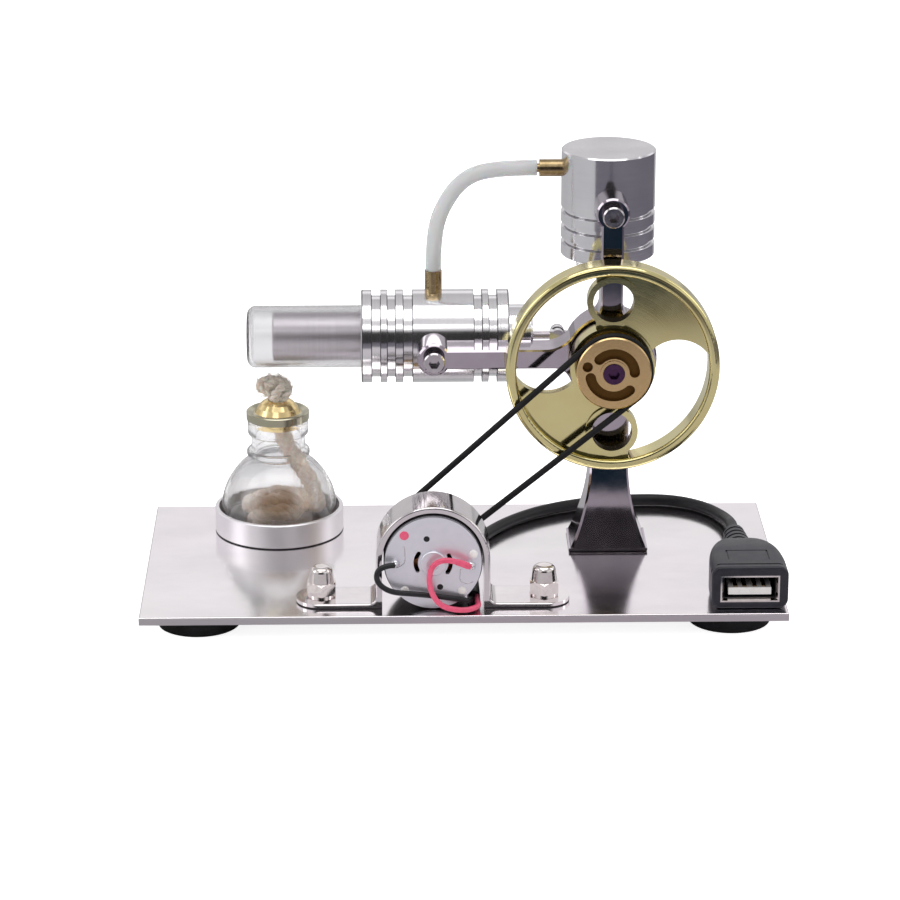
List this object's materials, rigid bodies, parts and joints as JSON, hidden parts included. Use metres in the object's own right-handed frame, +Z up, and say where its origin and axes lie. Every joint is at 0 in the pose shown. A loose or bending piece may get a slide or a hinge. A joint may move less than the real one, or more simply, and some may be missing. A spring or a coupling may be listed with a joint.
{
  "type": "stirling engine model",
  "caption": "Bench-top hot-air engine on a steel base: spirit burner, glass hot tube, cooler, power cylinder, flywheel, belt-driven generator motor and USB socket lead.",
  "frame": {"origin": "centre of the base outline, on the surface that the feet stand on", "axes": "+X along the base from the burner towards the USB socket, +Y from the generator side towards the cylinders, +Z up"},
  "size_m": [0.16, 0.08, 0.1086],
  "materials": {
    "stainless_plate": "polished sheet, fine grain",
    "polished_stainless": "polished",
    "black_rubber": "matt",
    "dark_chrome": "polished dark chrome plate",
    "steel_screw": "bright",
    "black_screw": "black oxide",
    "bearing_steel": "ground",
    "bright_steel": "polished",
    "zinc_steel": "zinc plated",
    "polished_aluminium": "turned and polished",
    "satin_aluminium": "satin turned",
    "clear_glass": "clear",
    "graphite": "ground graphite",
    "polished_brass": "polished",
    "pulley_brass": "turned",
    "fitting_brass": "turned",
    "silicone_hose": "translucent",
    "red_silicone": "matt",
    "magnet": "ferrite",
    "solder": "tinned",
    "copper_winding": "enamelled wire",
    "nickel": "polished nickel",
    "red_insulation": "soft",
    "black_insulation": "soft",
    "cable_jacket": "soft",
    "black_plastic": "fine satin",
    "white_plastic": "smooth",
    "cotton": "twisted cotton"
  },
  "bodies": {
    "frame": {"base_plate": "stainless_plate", "rubber_feet": "black_rubber", "column_bracket": "dark_chrome", "column_screws": "steel_screw", "front_bearing": "bearing_steel", "rear_bearing": "bearing_steel", "cylinder_screws": "steel_screw", "displacer_cylinder": "polished_aluminium", "tube_seal_ring": "red_silicone", "hot_tube": "clear_glass", "rod_gland": "polished_aluminium", "power_cylinder": "satin_aluminium", "cylinder_liner": "clear_glass", "lower_hose_fitting": "fitting_brass", "upper_hose_fitting": "fitting_brass", "air_hose": "silicone_hose", "drive_belt": "black_rubber", "motor_can": "zinc_steel", "motor_end_cap": "zinc_steel", "motor_magnets": "magnet", "motor_terminals": "solder", "motor_clamp": "polished_stainless", "clamp_screws": "steel_screw", "clamp_washers": "nickel", "clamp_dome_nuts": "nickel", "red_wire": "red_insulation", "black_wire": "black_insulation", "usb_cable": "cable_jacket", "usb_strain_relief": "black_plastic", "usb_overmold": "black_plastic", "usb_shell": "nickel", "usb_tongue": "white_plastic", "usb_contacts": "fitting_brass", "burner_tray": "polished_aluminium", "tray_fasteners": "steel_screw", "burner_bottle": "clear_glass", "burner_cap": "fitting_brass", "wick": "cotton"},
    "crankshaft": {"main_shaft": "bright_steel", "flywheel": "polished_brass", "flywheel_grub_screw": "steel_screw", "drive_pulley": "pulley_brass", "pulley_screw": "black_screw", "shaft_spacer": "bearing_steel", "crank_disc": "polished_brass", "crank_pin": "steel_screw", "pin_spacers": "fitting_brass"},
    "power_rod": {"power_conrod": "polished_aluminium"},
    "displacer_link": {"displacer_conrod": "polished_aluminium", "displacer_wrist_screw": "steel_screw"},
    "piston": {"power_piston": "graphite", "piston_fork": "polished_aluminium", "piston_wrist_pins": "steel_screw"},
    "displacer": {"displacer_can": "bright_steel", "displacer_plug": "polished_aluminium", "displacer_rod": "bright_steel", "displacer_eye": "polished_aluminium"},
    "motor_rotor": {"motor_shaft": "bright_steel", "motor_armature": "copper_winding", "motor_pulley": "pulley_brass"}
  },
  "joints": [
    {"name": "crank_spin", "type": "hinge", "parent": "frame", "child": "crankshaft", "pos_m": [0.038, 0, 0.059], "axis": [0, 1, 0], "continuous": true},
    {"name": "power_rod_swing", "type": "hinge", "parent": "crankshaft", "child": "power_rod", "pos_m": [0.038, 0.0235, 0.055], "axis": [0, 1, 0], "continuous": true},
    {"name": "displacer_link_swing", "type": "hinge", "parent": "crankshaft", "child": "displacer_link", "pos_m": [0.038, 0.0266, 0.055], "axis": [0, 1, 0], "continuous": true},
    {"name": "piston_slide", "type": "slide", "parent": "frame", "child": "piston", "axis": [0, 0, 1], "range_m": [0, 0.008]},
    {"name": "displacer_slide", "type": "slide", "parent": "frame", "child": "displacer", "axis": [1, 0, 0], "range_m": [-0.004, 0.004]},
    {"name": "motor_spin", "type": "hinge", "parent": "frame", "child": "motor_rotor", "pos_m": [-0.0076, -0.02, 0.0194], "axis": [0, 1, 0], "continuous": true}
  ],
  "couplings": [
    {"joint": "power_rod_swing", "follows": "crank_spin", "ratio": -1},
    {"joint": "displacer_link_swing", "follows": "crank_spin", "ratio": -1},
    {"joint": "motor_spin", "follows": "crank_spin", "ratio": 1.24}
  ]
}
